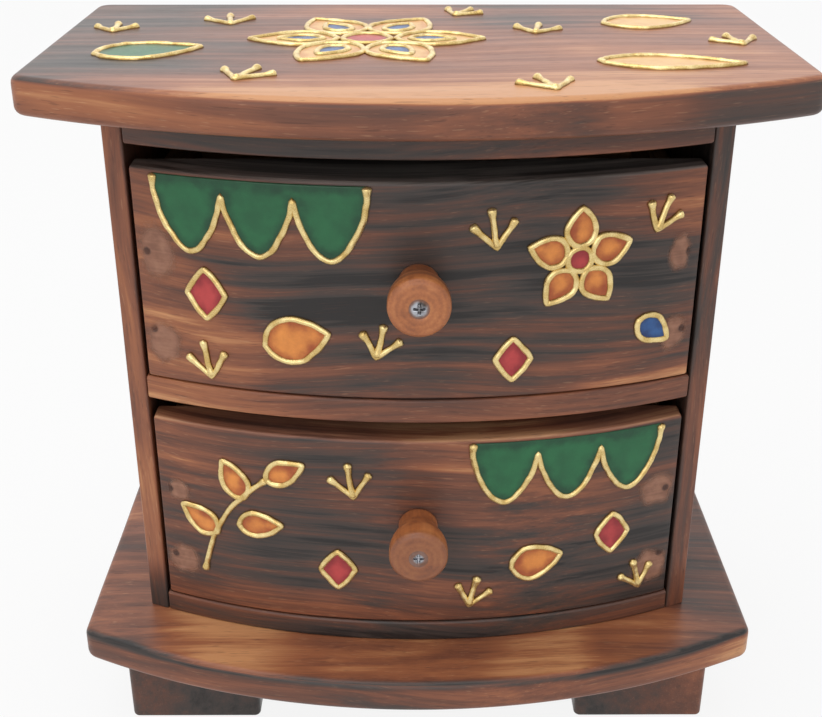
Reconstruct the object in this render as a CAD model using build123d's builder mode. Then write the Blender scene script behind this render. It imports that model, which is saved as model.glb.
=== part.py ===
"""Small bow-fronted desktop chest of two drawers, nailed together from thin stained boards."""

import os
from math import sqrt

from build123d import *

os.makedirs("parts", exist_ok=True)

# Frame: X runs across the front, Y from front to back, Z up from the floor.
# The origin is on the floor under the middle of the top board. All sizes are in millimetres.

# Top board and base board, which share one bow-fronted plan
board_width = 200.0
board_depth = 125.0
board_thickness = 10.0
board_corner_radius = 5.0
board_arris_radius = 2.2
bow_radius = 214.0

# Case between the two boards
side_reveal = 18.0
front_reveal = 20.0
back_overhang = 5.0
side_thickness = 6.0
bottom_shelf_thickness = 6.5
middle_shelf_thickness = 7.0
rail_height = 10.0
rail_end_depth = 14.0
back_thickness = 4.0
case_arris_radius = 0.8

# Feet, two battens that run from front to back
foot_width = 40.0
foot_height = 25.5
foot_side_inset = 11.0
foot_front_inset = 27.5
foot_back_inset = 10.0
foot_corner_radius = 2.0
foot_sole_chamfer = 1.0

# Drawers
drawer_height = 60.5
drawer_side_gap = 0.9
drawer_running_gap = 0.3
drawer_top_gap = 5.5
drawer_back_gap = 0.3
drawer_front_end_thickness = 7.0
drawer_front_arris_radius = 1.0
drawer_box_inset = 0.5
drawer_side_thickness = 6.0
drawer_side_drop = 11.0
drawer_back_thickness = 6.0
drawer_back_drop = 3.0
drawer_bottom_thickness = 3.0

# Turned knob, wider at the front than at the drawer
knob_length = 17.0
knob_front_diameter = 16.0
knob_back_diameter = 11.0
knob_rim_length = 4.5
knob_edge_radius = 1.8
knob_rise = 3.4

# Countersunk cross-head screw through each knob
screw_head_diameter = 5.4
screw_shank_diameter = 2.8
screw_length = 30.0
screw_point_length = 4.0
screw_cross_width = 0.7
screw_cross_length = 2.8
screw_cross_depth = 1.0

# Nails, and the shorter pins that hold the thin panels
nail_shank_diameter = 1.6
nail_head_diameter = 3.0
nail_head_thickness = 0.6
nail_length = 20.0
pin_shank_diameter = 1.2
pin_head_diameter = 2.2
pin_head_thickness = 0.5
pin_length = 12.0
plug_diameter = 3.6
plug_depth = 1.0
fastener_fit = 0.05
nail_edge_distance = 12.0
pin_edge_distance = 16.0
shelf_pin_spread = 78.0
back_pins_per_side = 4
bottom_pins_per_side = 3

# Dowels hidden between the case sides and the top board
dowel_diameter = 3.0
dowel_length = 12.0
dowel_end_gap = 0.4
dowels_per_side = 3

# Heights and lines that follow from the sizes above
bow_centre_y = bow_radius - board_depth / 2
case_bow_radius = bow_radius - front_reveal
crown_y = bow_centre_y - case_bow_radius
case_back_y = board_depth / 2 - back_overhang - back_thickness
case_width = board_width - 2 * side_reveal
inner_width = case_width - 2 * side_thickness
side_centre_x = (case_width - side_thickness) / 2
opening_height = drawer_running_gap + drawer_height + drawer_top_gap
case_floor = foot_height + board_thickness
lower_opening_floor = case_floor + bottom_shelf_thickness
middle_shelf_floor = lower_opening_floor + opening_height
upper_opening_floor = middle_shelf_floor + middle_shelf_thickness
rail_floor = upper_opening_floor + opening_height
case_top = rail_floor + rail_height
case_height = case_top - case_floor


def bow_line(x, radius):
    """Y of the bow at a distance x from the middle."""
    return bow_centre_y - sqrt(radius**2 - x**2)


def board_plan():
    """Plan of the top and base boards, with the bow along the front and rounded corners."""
    Rectangle(board_width, board_depth)
    with Locations((0, bow_centre_y)):
        Circle(bow_radius, mode=Mode.INTERSECT)
    fillet(vertices(), board_corner_radius)


def case_plan(width, centre_x, back_y):
    """Plan of a case piece that reaches from back_y forward to the bow."""
    with Locations((centre_x, (crown_y + back_y) / 2)):
        Rectangle(width, back_y - crown_y)
    with Locations((0, bow_centre_y)):
        Circle(case_bow_radius, mode=Mode.INTERSECT)


def spread(start, end, count):
    """Evenly spaced places from start to end."""
    return [start + (end - start) * step / (count - 1) for step in range(count)]


def outward(point, direction):
    """Place for a fastener: its head is at the point and faces the direction."""
    return Plane(origin=point, z_dir=direction).location


def nail_holes(places):
    """Holes for nails whose heads lie flush at the places."""
    with Locations(*places):
        CounterBoreHole(
            radius=nail_shank_diameter / 2 + fastener_fit,
            counter_bore_radius=nail_head_diameter / 2 + fastener_fit,
            counter_bore_depth=nail_head_thickness + fastener_fit,
            depth=nail_length + fastener_fit,
        )


def pin_holes(places):
    """Holes for pins whose heads lie flush at the places."""
    with Locations(*places):
        CounterBoreHole(
            radius=pin_shank_diameter / 2 + fastener_fit,
            counter_bore_radius=pin_head_diameter / 2 + fastener_fit,
            counter_bore_depth=pin_head_thickness + fastener_fit,
            depth=pin_length + fastener_fit,
        )


def nails(places):
    """Nails, head and shank, whose heads lie flush at the places."""
    with Locations(*places):
        downward = (Align.CENTER, Align.CENTER, Align.MAX)
        Cylinder(nail_shank_diameter / 2, nail_length, align=downward)
        Cylinder(nail_head_diameter / 2, nail_head_thickness, align=downward)


def pins(places):
    """Pins, head and shank, whose heads lie flush at the places."""
    with Locations(*places):
        downward = (Align.CENTER, Align.CENTER, Align.MAX)
        Cylinder(pin_shank_diameter / 2, pin_length, align=downward)
        Cylinder(pin_head_diameter / 2, pin_head_thickness, align=downward)


def save(piece, name):
    """Label a finished piece and write it."""
    piece.part.label = name
    export_step(piece.part, f"parts/{name}.step")


# Where the case fasteners go. Each side panel is nailed to the rail and to both shelves.
side_front_y = bow_line(case_width / 2, case_bow_radius)
rail_back_y = bow_line(inner_width / 2, case_bow_radius) + rail_end_depth
nail_front_y = side_front_y + nail_edge_distance
nail_back_y = case_back_y - nail_edge_distance
shelf_mid_heights = [
    case_floor + bottom_shelf_thickness / 2,
    middle_shelf_floor + middle_shelf_thickness / 2,
]
side_nail_spots = [(y, z) for z in shelf_mid_heights for y in (nail_front_y, nail_back_y)]
side_nail_spots.append(((side_front_y + rail_back_y) / 2, rail_floor + rail_height / 2))
side_nail_places = {
    side: [outward((side * case_width / 2, y, z), (side, 0, 0)) for y, z in side_nail_spots]
    for side in (-1, 1)
}

# The back panel is pinned to the rear edges of the sides and of the shelves.
back_face_y = case_back_y + back_thickness
back_pin_heights = spread(case_floor + pin_edge_distance, case_top - pin_edge_distance, back_pins_per_side)
back_pin_spots = [(side * side_centre_x, z) for side in (-1, 1) for z in back_pin_heights]
back_pin_spots += [(side * shelf_pin_spread / 2, z) for side in (-1, 1) for z in shelf_mid_heights]
back_pin_places = [outward((x, back_face_y, z), (0, 1, 0)) for x, z in back_pin_spots]

# The bottom shelf is pinned down to the base board, and the base board is nailed to the feet.
foot_centre_x = board_width / 2 - foot_side_inset - foot_width / 2
foot_front_y = foot_front_inset - board_depth / 2
foot_back_y = board_depth / 2 - foot_back_inset
shelf_pin_places = [
    outward((side * shelf_pin_spread / 2, y, lower_opening_floor), (0, 0, 1))
    for side in (-1, 1)
    for y in (nail_front_y, nail_back_y)
]
foot_nail_places = {
    side: [
        outward((side * foot_centre_x, y, case_floor), (0, 0, 1))
        for y in (foot_front_y + 2 * nail_edge_distance, foot_back_y - 2 * nail_edge_distance)
    ]
    for side in (-1, 1)
}

# Dowels stand half in the top edge of a side panel and half in the top board.
dowel_spots = {
    side: [(side * side_centre_x, y, case_top) for y in spread(nail_front_y, nail_back_y, dowels_per_side)]
    for side in (-1, 1)
}


def dowel_holes(spots):
    """Blind holes that take both ends of each dowel with a little room at the ends."""
    with Locations(*spots):
        Cylinder(dowel_diameter / 2 + fastener_fit, dowel_length + 2 * dowel_end_gap, mode=Mode.SUBTRACT)


# Top board
with BuildPart() as top_board:
    with BuildSketch(Plane.XY.offset(case_top)):
        board_plan()
    extrude(amount=board_thickness)
    board_rims = top_board.faces().sort_by(Axis.Z)
    fillet(board_rims[0].edges() + board_rims[-1].edges(), board_arris_radius)
    dowel_holes(dowel_spots[-1] + dowel_spots[1])
save(top_board, "top_board")

# Base board
with BuildPart() as base_board:
    with BuildSketch(Plane.XY.offset(foot_height)):
        board_plan()
    extrude(amount=board_thickness)
    board_rims = base_board.faces().sort_by(Axis.Z)
    fillet(board_rims[0].edges() + board_rims[-1].edges(), board_arris_radius)
    nail_holes(foot_nail_places[-1] + foot_nail_places[1])
    pin_holes(shelf_pin_places)
save(base_board, "base_board")

# Side panels, whose front edges are cut to the bow
for side, side_name in ((-1, "left"), (1, "right")):
    with BuildPart() as side_panel:
        with BuildSketch(Plane.XY.offset(case_floor)):
            case_plan(side_thickness, side * side_centre_x, case_back_y)
        extrude(amount=case_height)
        fillet(side_panel.edges().filter_by(Axis.Z).sort_by(Axis.Y)[:2], case_arris_radius)
        nail_holes(side_nail_places[side])
        pin_holes(back_pin_places)
        dowel_holes(dowel_spots[side])
    save(side_panel, f"{side_name}_side_panel")

# Rail under the top board, straight at the back
with BuildPart() as top_rail:
    with BuildSketch(Plane.XY.offset(rail_floor)):
        case_plan(inner_width, 0, rail_back_y)
    extrude(amount=rail_height)
    fillet(top_rail.faces().sort_by(Axis.Z)[0].edges().sort_by(Axis.Y)[0], case_arris_radius)
    nail_holes(side_nail_places[-1] + side_nail_places[1])
save(top_rail, "top_rail")

# Middle shelf, which carries the upper drawer
with BuildPart() as middle_shelf:
    with BuildSketch(Plane.XY.offset(middle_shelf_floor)):
        case_plan(inner_width, 0, case_back_y)
    extrude(amount=middle_shelf_thickness)
    shelf_rims = middle_shelf.faces().sort_by(Axis.Z)
    fillet([rim.edges().sort_by(Axis.Y)[0] for rim in (shelf_rims[0], shelf_rims[-1])], case_arris_radius)
    nail_holes(side_nail_places[-1] + side_nail_places[1])
    pin_holes(back_pin_places)
save(middle_shelf, "middle_shelf")

# Bottom shelf, which lies on the base board and carries the lower drawer
with BuildPart() as bottom_shelf:
    with BuildSketch(Plane.XY.offset(case_floor)):
        case_plan(inner_width, 0, case_back_y)
    extrude(amount=bottom_shelf_thickness)
    fillet(bottom_shelf.faces().sort_by(Axis.Z)[-1].edges().sort_by(Axis.Y)[0], case_arris_radius)
    nail_holes(side_nail_places[-1] + side_nail_places[1])
    pin_holes(back_pin_places + shelf_pin_places)
save(bottom_shelf, "bottom_shelf")

# Back panel, laid over the rear edges of the sides and shelves
with BuildPart() as back_panel:
    with BuildSketch(Plane.XY.offset(case_floor)):
        with Locations((0, case_back_y + back_thickness / 2)):
            Rectangle(case_width, back_thickness)
    extrude(amount=case_height)
    pin_holes(back_pin_places)
save(back_panel, "back_panel")

# Feet
for side, side_name in ((-1, "left"), (1, "right")):
    with BuildPart() as foot:
        with BuildSketch() as foot_plan:
            with Locations((side * foot_centre_x, (foot_front_y + foot_back_y) / 2)):
                Rectangle(foot_width, foot_back_y - foot_front_y)
            fillet(foot_plan.vertices(), foot_corner_radius)
        extrude(amount=foot_height)
        chamfer(foot.faces().sort_by(Axis.Z)[0].edges(), foot_sole_chamfer)
        nail_holes(foot_nail_places[side])
    save(foot, f"{side_name}_foot")

# Fasteners of the case
with BuildPart() as side_nails:
    nails(side_nail_places[-1] + side_nail_places[1])
save(side_nails, "side_nails")

with BuildPart() as back_pins:
    pins(back_pin_places)
save(back_pins, "back_pins")

with BuildPart() as shelf_pins:
    pins(shelf_pin_places)
save(shelf_pins, "shelf_pins")

with BuildPart() as foot_nails:
    nails(foot_nail_places[-1] + foot_nail_places[1])
save(foot_nails, "foot_nails")

with BuildPart() as top_dowels:
    with Locations(*dowel_spots[-1], *dowel_spots[1]):
        Cylinder(dowel_diameter / 2, dowel_length)
save(top_dowels, "top_dowels")

# The two drawers, built alike on their own shelves
drawer_width = inner_width - 2 * drawer_side_gap
drawer_box_half = drawer_width / 2 - drawer_box_inset
drawer_side_centre_x = drawer_box_half - drawer_side_thickness / 2
drawer_inner_half = drawer_box_half - drawer_side_thickness
drawer_end_y = bow_line(drawer_width / 2, case_bow_radius)
drawer_front_back_y = drawer_end_y + drawer_front_end_thickness
drawer_back_y = case_back_y - drawer_back_gap
drawer_back_centre_y = drawer_back_y - drawer_back_thickness / 2
drawer_run = drawer_back_y - drawer_front_back_y
plug_seat_y = bow_line(drawer_side_centre_x + plug_diameter / 2, case_bow_radius) + plug_depth

bottom_pin_lines = spread(
    drawer_front_back_y + pin_edge_distance, drawer_back_y - pin_edge_distance, bottom_pins_per_side
)
side_height = drawer_height - drawer_side_drop - drawer_bottom_thickness
back_height = side_height - drawer_back_drop

for drawer, opening_floor in (("upper", upper_opening_floor), ("lower", lower_opening_floor)):
    drawer_floor = opening_floor + drawer_running_gap
    box_floor = drawer_floor + drawer_bottom_thickness
    knob_z = drawer_floor + drawer_height / 2 + knob_rise
    knob_axis = Axis((0, 0, knob_z), (0, 1, 0))
    screw_place = outward((0, crown_y - knob_length, knob_z), (0, -1, 0))

    front_nail_heights = [box_floor + nail_edge_distance, box_floor + side_height - nail_edge_distance]
    front_nail_places = [
        outward((side * drawer_side_centre_x, plug_seat_y, z), (0, -1, 0))
        for side in (-1, 1)
        for z in front_nail_heights
    ]
    back_nail_heights = [box_floor + nail_edge_distance, box_floor + back_height - nail_edge_distance]
    back_nail_places = {
        side: [
            outward((side * drawer_box_half, drawer_back_centre_y, z), (side, 0, 0))
            for z in back_nail_heights
        ]
        for side in (-1, 1)
    }
    bottom_pin_places = {
        side: [
            outward((side * drawer_side_centre_x, y, drawer_floor), (0, 0, -1))
            for y in bottom_pin_lines
        ]
        for side in (-1, 1)
    }

    # Drawer front, bowed outside and flat inside
    with BuildPart() as drawer_front:
        with BuildSketch(Plane.XY.offset(drawer_floor)):
            case_plan(drawer_width, 0, drawer_front_back_y)
        extrude(amount=drawer_height)
        bow_face = drawer_front.faces().filter_by(GeomType.CYLINDER)[0]
        fillet(bow_face.edges(), drawer_front_arris_radius)
        nail_holes(front_nail_places)
        with Locations(*front_nail_places):
            Cylinder(
                plug_diameter / 2 + fastener_fit,
                drawer_front_back_y - crown_y,
                align=(Align.CENTER, Align.CENTER, Align.MIN),
                mode=Mode.SUBTRACT,
            )
        with Locations(screw_place):
            Hole(screw_shank_diameter / 2 + fastener_fit, screw_length + fastener_fit)
    save(drawer_front, f"{drawer}_drawer_front")

    # Drawer sides
    for side, side_name in ((-1, "left"), (1, "right")):
        with BuildPart() as drawer_side:
            with BuildSketch(Plane.XY.offset(box_floor)):
                with Locations((side * drawer_side_centre_x, (drawer_front_back_y + drawer_back_y) / 2)):
                    Rectangle(drawer_side_thickness, drawer_run)
            extrude(amount=side_height)
            nail_holes(front_nail_places + back_nail_places[side])
            pin_holes(bottom_pin_places[side])
        save(drawer_side, f"{drawer}_drawer_{side_name}_side")

    # Drawer back, set between the sides
    with BuildPart() as drawer_back:
        with BuildSketch(Plane.XY.offset(box_floor)):
            with Locations((0, drawer_back_centre_y)):
                Rectangle(2 * drawer_inner_half, drawer_back_thickness)
        extrude(amount=back_height)
        nail_holes(back_nail_places[-1] + back_nail_places[1])
    save(drawer_back, f"{drawer}_drawer_back")

    # Drawer bottom, pinned up under the sides
    with BuildPart() as drawer_bottom:
        with BuildSketch(Plane.XY.offset(drawer_floor)):
            with Locations((0, (drawer_front_back_y + drawer_back_y) / 2)):
                Rectangle(2 * drawer_box_half, drawer_run)
        extrude(amount=drawer_bottom_thickness)
        pin_holes(bottom_pin_places[-1] + bottom_pin_places[1])
    save(drawer_bottom, f"{drawer}_drawer_bottom")

    # Knob, turned on its axis: a narrow seat that flares to a rim and a flat face
    with BuildPart() as knob:
        with BuildSketch(Plane.XY.offset(knob_z)):
            with BuildLine():
                seat = (knob_back_diameter / 2, crown_y)
                rim_back = (knob_front_diameter / 2, crown_y - knob_length + knob_rim_length)
                rim_front = (knob_front_diameter / 2, crown_y - knob_length)
                Line((0, crown_y), seat)
                flare = (rim_back[1] - crown_y) / 2
                Bezier(seat, (seat[0], seat[1] + flare), (rim_back[0], rim_back[1] - flare), rim_back)
                Polyline(rim_back, rim_front, (0, rim_front[1]), (0, crown_y))
            make_face()
        revolve(axis=knob_axis)
        fillet(knob.edges().sort_by(Axis.Y)[0], knob_edge_radius)
        with Locations(screw_place):
            CounterSinkHole(
                radius=screw_shank_diameter / 2 + fastener_fit,
                counter_sink_radius=screw_head_diameter / 2 + fastener_fit,
                counter_sink_angle=90,
            )
    save(knob, f"{drawer}_knob")

    # Knob screw, with a countersunk head and a point
    with BuildPart() as knob_screw:
        with BuildSketch(Plane.XY.offset(knob_z)):
            with BuildLine():
                head_y = crown_y - knob_length
                head_radius = screw_head_diameter / 2
                shank_radius = screw_shank_diameter / 2
                Polyline(
                    (0, head_y),
                    (head_radius, head_y),
                    (shank_radius, head_y + head_radius - shank_radius),
                    (shank_radius, head_y + screw_length - screw_point_length),
                    (0, head_y + screw_length),
                    close=True,
                )
            make_face()
        revolve(axis=knob_axis)
        with Locations(screw_place):
            for turn in (0, 90):
                Box(
                    screw_cross_length,
                    screw_cross_width,
                    screw_cross_depth,
                    rotation=(0, 0, turn),
                    align=(Align.CENTER, Align.CENTER, Align.MAX),
                    mode=Mode.SUBTRACT,
                )
    save(knob_screw, f"{drawer}_knob_screw")

    # Nails through the front, each hidden by a plug of filler that follows the bow
    with BuildPart() as front_nails:
        nails(front_nail_places)
    save(front_nails, f"{drawer}_drawer_front_nails")

    with BuildPart() as nail_plugs:
        with Locations(*front_nail_places):
            Cylinder(
                plug_diameter / 2,
                drawer_front_back_y - crown_y,
                align=(Align.CENTER, Align.CENTER, Align.MIN),
            )
        with Locations((0, bow_centre_y, drawer_floor + drawer_height / 2)):
            Cylinder(case_bow_radius, drawer_height, mode=Mode.INTERSECT)
    save(nail_plugs, f"{drawer}_drawer_nail_plugs")

    # Nails through the sides into the back, and pins up through the bottom
    with BuildPart() as back_nails:
        nails(back_nail_places[-1] + back_nail_places[1])
    save(back_nails, f"{drawer}_drawer_back_nails")

    with BuildPart() as bottom_pins:
        pins(bottom_pin_places[-1] + bottom_pin_places[1])
    save(bottom_pins, f"{drawer}_drawer_bottom_pins")
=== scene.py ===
"""Small bow-fronted desktop chest of two drawers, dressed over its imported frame: torched and
lacquered wood, turned knobs, and raised gold piping round pools of enamel."""

from math import cos, pi, radians, sin, sqrt, tan

import bpy
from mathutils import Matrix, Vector, noise


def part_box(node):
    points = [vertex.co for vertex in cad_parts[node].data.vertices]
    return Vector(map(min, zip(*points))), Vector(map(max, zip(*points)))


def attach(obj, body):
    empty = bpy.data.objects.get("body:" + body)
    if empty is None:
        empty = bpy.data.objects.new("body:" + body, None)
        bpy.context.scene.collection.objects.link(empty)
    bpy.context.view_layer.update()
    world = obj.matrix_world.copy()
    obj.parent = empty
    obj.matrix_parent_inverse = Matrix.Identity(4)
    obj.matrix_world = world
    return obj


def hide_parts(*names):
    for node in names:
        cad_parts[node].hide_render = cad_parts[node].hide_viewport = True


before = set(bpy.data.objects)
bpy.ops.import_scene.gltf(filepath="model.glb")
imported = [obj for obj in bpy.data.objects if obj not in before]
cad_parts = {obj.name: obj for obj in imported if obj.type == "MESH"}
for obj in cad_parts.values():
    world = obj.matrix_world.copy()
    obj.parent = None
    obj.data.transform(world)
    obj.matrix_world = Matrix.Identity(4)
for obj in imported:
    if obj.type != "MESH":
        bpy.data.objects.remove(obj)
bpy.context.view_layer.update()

# Feet: two battens that run from front to back, sawn from the same wood as the case.
# They are torched dark, with painted shade deepening towards the middle under the bowed base
# board; they have rounded corners and a bevelled sole, and are nailed up against the base board.


class Wire:
    """A socket of a node tree. Arithmetic on it adds Math nodes to the same tree."""

    def __init__(self, tree, socket=None):
        self.tree = tree
        self.socket = socket

    def feed(self, node, inputs):
        """Gives the sockets of a node their values or wires."""
        for key, value in inputs.items():
            if isinstance(value, Wire):
                self.tree.links.new(value.socket, node.inputs[key])
            else:
                node.inputs[key].default_value = value

    def node(self, kind, settings=None, inputs=None, output=0):
        """Adds a node, sets it up, feeds its sockets and gives one of its outputs."""
        made = self.tree.nodes.new(kind)
        for key, value in (settings or {}).items():
            if key == "stops":
                ramp = made.color_ramp
                ramp.elements[0].position, ramp.elements[0].color = value[0]
                ramp.elements[1].position, ramp.elements[1].color = value[-1]
                for position, colour in value[1:-1]:
                    ramp.elements.new(position).color = colour
            else:
                setattr(made, key, value)
        self.feed(made, inputs or {})
        return Wire(self.tree, made.outputs[output])

    def beside(self, output):
        """Another output of the same node."""
        return Wire(self.tree, self.socket.node.outputs[output])

    def axes(self):
        """The x, y and z of this vector."""
        x = self.node("ShaderNodeSeparateXYZ", inputs={0: self})
        return x, x.beside(1), x.beside(2)

    def vector(self, x=0.0, y=0.0, z=0.0):
        """The vector of an x, a y and a z."""
        return self.node("ShaderNodeCombineXYZ", inputs={0: x, 1: y, 2: z})

    def vector_math(self, operation, other):
        return self.node("ShaderNodeVectorMath", {"operation": operation}, {0: self, 1: other})

    def math(self, operation, first, second=0.0):
        return self.node("ShaderNodeMath", {"operation": operation}, {0: first, 1: second})

    def __add__(self, other):
        return self.math("ADD", self, other)

    def __radd__(self, other):
        return self.math("ADD", other, self)

    def __sub__(self, other):
        return self.math("SUBTRACT", self, other)

    def __rsub__(self, other):
        return self.math("SUBTRACT", other, self)

    def __mul__(self, other):
        return self.math("MULTIPLY", self, other)

    def __rmul__(self, other):
        return self.math("MULTIPLY", other, self)

    def __truediv__(self, other):
        return self.math("DIVIDE", self, other)

    def __pow__(self, other):
        return self.math("POWER", self, other)

    def __abs__(self):
        return self.math("ABSOLUTE", self)

    def least(self, other):
        return self.math("MINIMUM", self, other)

    def most(self, other):
        return self.math("MAXIMUM", self, other)

    def ease(self, low, high):
        """0 below low, 1 above high and a smooth step between."""
        return self.node(
            "ShaderNodeMapRange",
            {"interpolation_type": "SMOOTHSTEP"},
            {"Value": self, "From Min": low, "From Max": high},
        )

    def fade(self, low, high):
        """1 below low, 0 above high and a smooth step between."""
        return 1.0 - self.ease(low, high)

    def near(self, middle, inner, outer):
        """1 within the inner distance of the middle, 0 past the outer one."""
        return abs(self - middle).fade(inner, outer)

    def tinted(self, first, second):
        """The first colour where this is 0, the second where it is 1."""
        return self.node("ShaderNodeMix", {"data_type": "RGBA"}, {0: self, 6: first, 7: second}, 2)

    def noise(self, scale, detail, stretch=None, distortion=0.0, output=0):
        """Noise at this place, drawn out where the stretch is small."""
        place = self
        if stretch:
            place = self.node("ShaderNodeMapping", inputs={"Vector": self, "Scale": stretch})
        sizes = {"Scale": scale, "Detail": detail, "Distortion": distortion}
        return self.node("ShaderNodeTexNoise", inputs={"Vector": place, **sizes}, output=output)

    def bump(self, strength, distance):
        """The normal of a skin that this height roughens."""
        sizes = {"Strength": strength, "Distance": distance}
        return self.node("ShaderNodeBump", inputs={**sizes, "Height": self})

    def attribute(self, title):
        """A value that each point of the mesh carries."""
        return self.node("ShaderNodeAttribute", {"attribute_name": title}, output="Fac")


def swatch(red, green, blue):
    """A colour as it is matched against a paint card, for a shader."""
    shares = [part / 255 for part in (red, green, blue)]
    return tuple(s / 12.92 if s < 0.04 else ((s + 0.055) / 1.055) ** 2.4 for s in shares) + (1.0,)


def new_finish(name):
    """A finish to be built up: its material, its shader and the place on the piece."""
    finish = bpy.data.materials.new(name)
    finish.use_nodes = True
    place = Wire(finish.node_tree).node("ShaderNodeTexCoord", output="Object")
    return finish, finish.node_tree.nodes["Principled BSDF"], place


torch_tones = [
    (0.00, swatch(36, 32, 31)),
    (0.12, swatch(60, 53, 50)),
    (0.24, swatch(78, 59, 52)),
    (0.38, swatch(101, 64, 50)),
    (0.55, swatch(130, 79, 57)),
    (0.75, swatch(158, 98, 66)),
    (1.00, swatch(202, 144, 98)),
]
pore_brown = swatch(70, 46, 38)
dash_tan = swatch(206, 160, 122)
# Grey char colours, painted as shade on the upper faces of the drawer fronts.
shade_char_black = swatch(50, 46, 44)
shade_char_grey = swatch(126, 121, 117)


def torched_wood(
    name, grain, tone, seed, tones=torch_tones, gloss=0.25, depth=None, figured=1.0, flamed=0.0, char_shade=None
):
    """Torched, stained and lacquered wood whose grain runs along one axis.

    tone(x, y, z) says how pale each spot is, mostly from the flame and in places from painted light
    and shade, depth(x, y, z) how deep in the wood the spot lies where that isn't its y, figured how
    strongly the grain shows, flamed how patchily the torch was moved, and char_shade(x, y, z) where
    grey char is painted over the wood as shade."""
    finish, wood, place = new_finish(name)
    x, y, z = place.axes()
    if depth:
        place = place.vector(x, depth(x, y, z), z)

    def lengthwise(along, across):
        return tuple(along if axis == grain else across for axis in "XYZ")

    flow = place.noise(9.0, 1.0, output="Color")
    swayed = place.node(
        "ShaderNodeVectorMath", {"operation": "MULTIPLY_ADD"}, {0: flow, 1: lengthwise(0.0, 0.02), 2: place}
    )

    def figure(along, across, detail, turn):
        laid = {"Location": (seed, turn, seed - turn), "Scale": lengthwise(along, across)}
        return swayed.node("ShaderNodeMapping", inputs={"Vector": swayed, **laid}).noise(1.0, detail)

    drift = figure(7.0, 58.0, 2.0, 1.0)
    streaks = figure(9.0, 260.0, 3.0, 3.0)
    lines = figure(12.0, 900.0, 2.0, 4.0)
    fibres = figure(48.0, 2400.0, 2.0, 5.0)
    pores = figure(130.0, 2600.0, 1.0, 7.0).ease(0.62, 0.74)
    dashes = figure(190.0, 2800.0, 1.0, 9.0).ease(0.64, 0.76)
    uneven = (drift - 0.5) * 0.8 + (streaks - 0.5) * 0.8 + (lines - 0.5) * 0.35 + (fibres - 0.5) * 0.2
    paleness = tone(x, y, z) + uneven * figured
    if flamed:
        paleness = paleness + (figure(26.0, 46.0, 2.0, 11.0) - 0.5) * flamed
    stained = place.node("ShaderNodeValToRGB", {"stops": tones}, {"Fac": paleness})
    pored = (pores * 0.4).tinted(stained, pore_brown)
    colour = (dashes * paleness * 0.4).tinted(pored, dash_tan)
    if char_shade:
        # Grey char painted over the wood as shade where the mask asks; the drawer fronts use it on their
        # upper faces.
        char = (streaks * 0.5 + lines * 0.3 + fibres * 0.2).ease(0.36, 0.64).tinted(shade_char_black, shade_char_grey)
        colour = char_shade(x, y, z).tinted(colour, char)
    place.feed(
        wood,
        {
            "Base Color": colour,
            "Roughness": 0.5 - (streaks - 0.5) * 0.3 + pores * 0.1,
            "Normal": (fibres * 0.6 + lines * 0.8 - pores).bump(0.35, 0.00012),
            "Specular IOR Level": 0.3,
            "Coat Weight": gloss,
            "Coat Roughness": 0.28,
        },
    )
    return finish


def softened_plan(runs, corner):
    """The outline of a plan whose runs follow each other anticlockwise, with its corners rounded."""
    bend_steps = 6
    bends = []
    for here, following in zip(runs, runs[1:] + runs[:1]):
        entry = (here[-1] - here[-2]).normalized()
        leave = (following[1] - following[0]).normalized()
        turn = entry.angle(leave)
        bends.append((here[-1], entry, leave, corner * tan(turn / 2), corner * 4 / 3 * tan(turn / 4)))
    outline = []
    for run, before, after in zip(runs, bends[-1:] + bends[:-1], bends):
        tip, entry, leave, cut, reach = after
        outline += [p for p in run if (p - before[0]).length > before[3] and (p - tip).length > cut]
        near = cut - reach
        ends = (tip - entry * cut, tip - entry * near, tip + leave * near, tip + leave * cut)
        for step in range(bend_steps + 1):
            share = step / bend_steps
            weights = ((1 - share) ** 3, 3 * share * (1 - share) ** 2, 3 * share**2 * (1 - share), share**3)
            outline.append(sum((w * p for w, p in zip(weights, ends)), Vector((0, 0))))
    return outline


def straight_run(start, end):
    """Evenly spaced points of a straight side."""
    spacing = 0.004
    count = max(2, round((Vector(end) - Vector(start)).length / spacing))
    return [Vector(start).lerp(Vector(end), i / count) for i in range(count + 1)]


def set_out(name, data):
    """Puts a mesh, a lamp or a camera into the scene."""
    thing = bpy.data.objects.new(name, data)
    bpy.context.scene.collection.objects.link(thing)
    return thing


def built_piece(name, points, faces, finish, flat=()):
    """A piece of the given points and faces, shaded smooth apart from its flat faces."""
    mesh = bpy.data.meshes.new(name)
    mesh.from_pydata(points, [], faces)
    smooth = [True] * len(faces)
    for face in flat:
        smooth[face] = False
    mesh.polygons.foreach_set("use_smooth", smooth)
    mesh.materials.append(finish)
    return set_out(name, mesh)


def ring_faces(first, rings, spokes):
    """Four-sided faces between rings of points, which start at the first point."""
    faces = []
    for ring in range(rings):
        for spoke in range(spokes):
            here = first + ring * spokes + spoke
            following = first + ring * spokes + (spoke + 1) % spokes
            faces.append([here, here + spokes, following + spokes, following])
    return faces


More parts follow.
